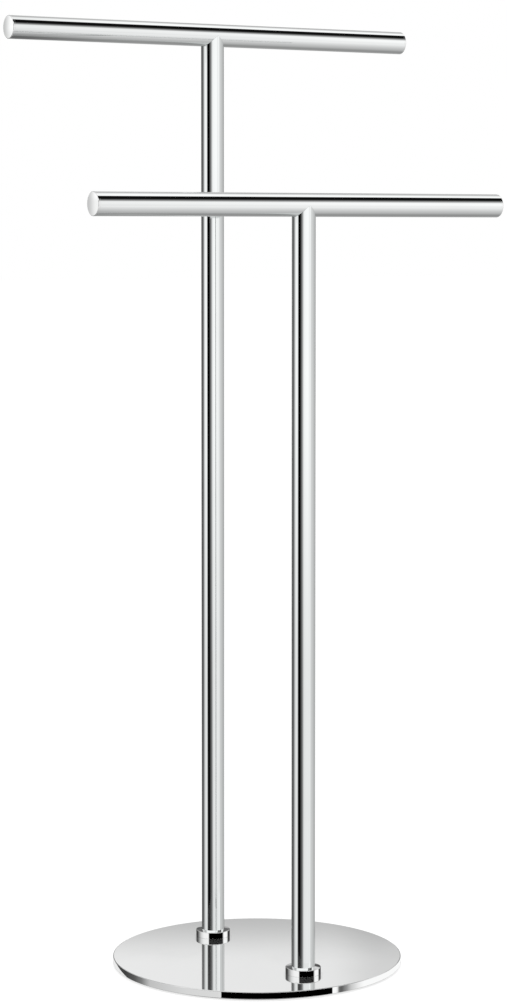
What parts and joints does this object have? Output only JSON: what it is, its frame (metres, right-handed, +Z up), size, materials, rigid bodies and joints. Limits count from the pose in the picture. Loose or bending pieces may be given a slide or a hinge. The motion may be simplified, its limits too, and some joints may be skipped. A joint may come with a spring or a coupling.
{
  "type": "freestanding towel stand",
  "caption": "Freestanding towel stand: a low and a tall T-shaped round rail, each on its own tube post and foot collar, on one heavy round plate.",
  "frame": {"origin": "on the floor, under the centre of the round plate", "axes": "+Z up; X along both rails; -Y towards the low rail (the front), +Y towards the tall rail"},
  "size_m": [0.4, 0.25, 0.8175],
  "materials": {
    "plate_chrome": "mirror-polished chrome plating on steel",
    "post_chrome": "bright chrome plating on steel tube",
    "rail_chrome": "bright chrome plating on steel tube",
    "cap_chrome": "bright chrome plating on a turned cap",
    "collar_chrome": "bright chrome plating on a turned ring",
    "turned_steel": "turned and zinc-plated",
    "rod_steel": "zinc-plated threaded rod",
    "screw_steel": "zinc-plated",
    "bush_nylon": "moulded nylon, matt",
    "pad_foam": "closed-cell foam rubber, matt"
  },
  "bodies": {
    "root": {"base_plate": "plate_chrome", "base_pad": "pad_foam", "base_screws": "screw_steel", "front_collar": "collar_chrome", "front_foot_plug": "turned_steel", "front_post": "post_chrome", "front_top_bush": "bush_nylon", "front_tie_rod": "rod_steel", "front_rail": "rail_chrome", "front_rail_nut": "turned_steel", "front_rail_cap_left": "cap_chrome", "front_rail_cap_right": "cap_chrome", "rear_collar": "collar_chrome", "rear_foot_plug": "turned_steel", "rear_post": "post_chrome", "rear_top_bush": "bush_nylon", "rear_tie_rod": "rod_steel", "rear_rail": "rail_chrome", "rear_rail_nut": "turned_steel", "rear_rail_cap_left": "cap_chrome", "rear_rail_cap_right": "cap_chrome"}
  },
  "joints": []
}
